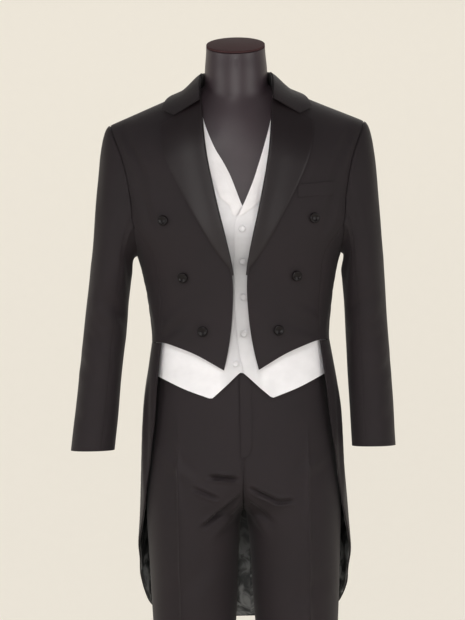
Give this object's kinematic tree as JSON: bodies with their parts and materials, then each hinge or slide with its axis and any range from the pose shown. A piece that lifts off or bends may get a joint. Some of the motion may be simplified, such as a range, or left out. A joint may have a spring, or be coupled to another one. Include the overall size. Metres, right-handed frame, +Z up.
{
  "type": "three-piece tailcoat tuxedo on a dress form",
  "caption": "Black tailcoat, pale waistcoat and black trousers of an evening suit, worn by a limbless dress form on a round base.",
  "frame": {"origin": "centre of the underside of the round base", "axes": "+Z up, -Y out of the garment's front, +X to the wearer's left"},
  "size_m": [0.616, 0.42, 1.7192],
  "materials": {
    "coat_wool": "matt worsted wool",
    "coat_satin": "satin",
    "tail_lining": "figured satin lining",
    "vest_strip": "pale satin",
    "vest_back": "pale satin lining",
    "vest_lapel": "white satin",
    "trouser_wool": "matt worsted wool",
    "form_shell": "satin moulded plastic",
    "stand_metal": "dark brushed steel"
  },
  "bodies": {
    "root": {"coat_front_l": "coat_wool", "coat_front_r": "coat_wool", "coat_side_l": "coat_wool", "coat_side_r": "coat_wool", "coat_back_l": "coat_wool", "coat_back_r": "coat_wool", "coat_skirt_l": "coat_wool", "coat_skirt_r": "coat_wool", "sleeve_top_l": "coat_wool", "sleeve_top_r": "coat_wool", "sleeve_under_l": "coat_wool", "sleeve_under_r": "coat_wool", "coat_collar": "coat_wool", "breast_welt": "coat_wool", "coat_lapel_l": "coat_satin", "coat_lapel_r": "coat_satin", "coat_button_l1": "coat_satin", "coat_button_l2": "coat_satin", "coat_button_l3": "coat_satin", "coat_button_r1": "coat_satin", "coat_button_r2": "coat_satin", "coat_button_r3": "coat_satin", "coat_tail_lining_l": "tail_lining", "coat_tail_lining_r": "tail_lining", "vest_front_l": "vest_strip", "vest_front_r": "vest_strip", "vest_button_1": "vest_strip", "vest_button_2": "vest_strip", "vest_button_3": "vest_strip", "vest_button_4": "vest_strip", "vest_button_5": "vest_strip", "vest_back": "vest_back", "vest_lapel_l": "vest_lapel", "vest_lapel_r": "vest_lapel", "trouser_front_l": "trouser_wool", "trouser_front_r": "trouser_wool", "trouser_back_l": "trouser_wool", "trouser_back_r": "trouser_wool", "trouser_waistband": "trouser_wool", "trouser_fly": "trouser_wool", "form_torso": "form_shell", "neck_cap": "form_shell", "form_post_l": "stand_metal", "form_post_r": "stand_metal", "form_base": "stand_metal"}
  },
  "joints": []
}
